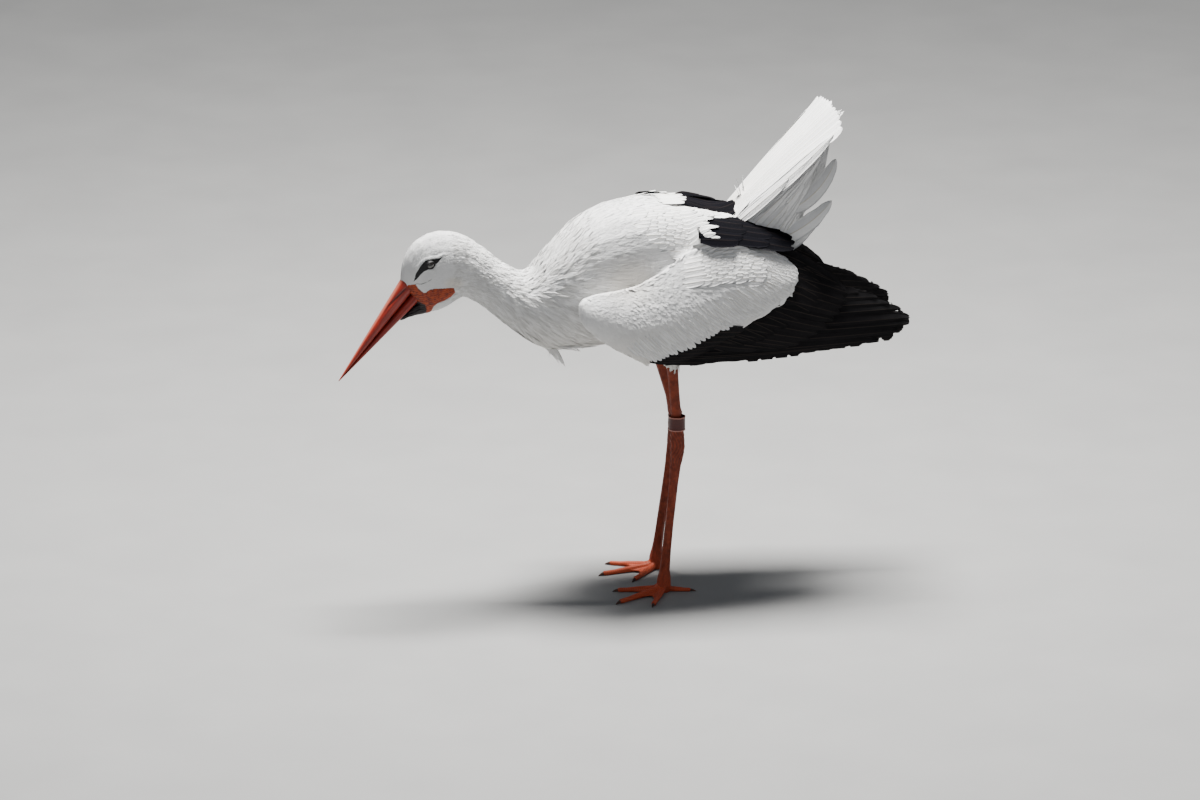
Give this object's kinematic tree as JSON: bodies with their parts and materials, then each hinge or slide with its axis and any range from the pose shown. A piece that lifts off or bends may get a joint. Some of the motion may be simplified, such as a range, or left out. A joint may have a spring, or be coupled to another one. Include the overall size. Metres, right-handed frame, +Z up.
{
  "type": "white stork",
  "caption": "Life-size still model of an adult white stork standing with its neck stretched forward and down, wings drooped beside the body and tail raised.",
  "frame": {"origin": "on the floor, under the middle of the bird's box; the feet stand a little behind it", "axes": "+Z up; the bird faces -X; its left side faces -Y"},
  "size_m": [0.862, 0.2448, 0.7249],
  "materials": {
    "white_feather": "soft white plumage",
    "black_feather": "black flight feathers with a faint blue-grey sheen",
    "bill_horn": "satin red horn",
    "throat_skin": "bare black skin",
    "leg_skin": "scaly red skin",
    "claw_horn": "dull dark horn",
    "ring_plastic": "dark red-brown plastic band with pale rims, unmarked",
    "eye_dark": "wet gloss"
  },
  "bodies": {
    "root": {"bill_lower": "bill_horn", "bill_upper": "bill_horn", "breast_plume_1": "white_feather", "breast_plume_2": "white_feather", "breast_plume_3": "white_feather", "claw_left_hind": "claw_horn", "claw_left_inner": "claw_horn", "claw_left_middle": "claw_horn", "claw_left_outer": "claw_horn", "claw_right_hind": "claw_horn", "claw_right_inner": "claw_horn", "claw_right_middle": "claw_horn", "claw_right_outer": "claw_horn", "eye_left": "eye_dark", "eye_right": "eye_dark", "head": "white_feather", "leg_ring": "ring_plastic", "neck": "white_feather", "shank_left": "leg_skin", "shank_right": "leg_skin", "tail": "white_feather", "tarsus_left": "leg_skin", "tarsus_right": "leg_skin", "thigh_left": "white_feather", "thigh_right": "white_feather", "throat_skin": "throat_skin", "toe_left_hind": "leg_skin", "toe_left_inner": "leg_skin", "toe_left_middle": "leg_skin", "toe_left_outer": "leg_skin", "toe_right_hind": "leg_skin", "toe_right_inner": "leg_skin", "toe_right_middle": "leg_skin", "toe_right_outer": "leg_skin", "trunk": "white_feather", "undertail_coverts": "white_feather", "undertail_plume_1": "white_feather", "undertail_plume_2": "white_feather", "undertail_plume_3": "white_feather", "wing_left_coverts": "white_feather", "wing_left_primaries": "black_feather", "wing_left_scapulars": "black_feather", "wing_left_secondaries": "black_feather", "wing_right_coverts": "white_feather", "wing_right_primaries": "black_feather", "wing_right_scapulars": "black_feather", "wing_right_secondaries": "black_feather"}
  },
  "joints": []
}
